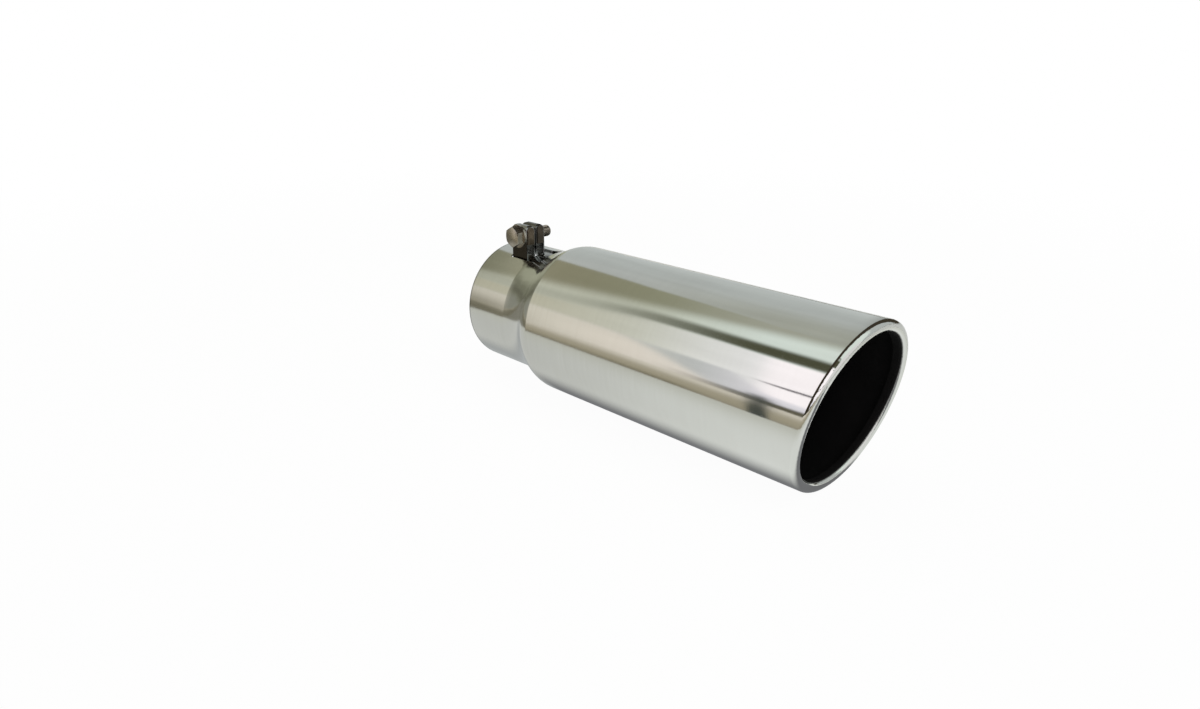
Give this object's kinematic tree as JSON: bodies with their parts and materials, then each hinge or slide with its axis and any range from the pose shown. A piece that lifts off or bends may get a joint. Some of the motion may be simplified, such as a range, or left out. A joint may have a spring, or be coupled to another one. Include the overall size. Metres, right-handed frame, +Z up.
{
  "type": "exhaust tip",
  "caption": "Slash-cut stainless exhaust tip: a narrow neck flares into a straight body with a rolled lip, and a bolted strap clamp in the neck grips the tailpipe.",
  "frame": {"origin": "on the tip's axis, in line with the clamp's bolt", "axes": "+X along the axis toward the outlet, +Z up toward the long side of the slanted mouth, the clamp bolt along Y with its head toward -Y"},
  "size_m": [0.3646, 0.127, 0.1416],
  "materials": {
    "brushed_stainless": "fine brushing round the axis outside, polished lip, matt black inside the body",
    "strap_steel": "plain rolled strip",
    "bar_steel": "dull brown steel",
    "fastener_steel": "dull steel with bright worn edges"
  },
  "bodies": {
    "tip": {"tip_body": "brushed_stainless", "clamp_band": "strap_steel", "head_bar": "bar_steel", "nut_bar": "bar_steel"},
    "washer": {"bolt_washer": "fastener_steel"},
    "bolt": {"clamp_bolt": "fastener_steel"}
  },
  "joints": [
    {"name": "bolt_travel", "type": "slide", "parent": "tip", "child": "washer", "axis": [0, -1, 0], "range_m": [0, 0.012]},
    {"name": "bolt_turn", "type": "hinge", "parent": "washer", "child": "bolt", "pos_m": [0, -0.0232, 0.0681], "axis": [0, -1, 0], "range_deg": [0, 2885]}
  ],
  "couplings": [
    {"joint": "bolt_turn", "follows": "bolt_travel", "rad_per_m": 4188.8}
  ]
}
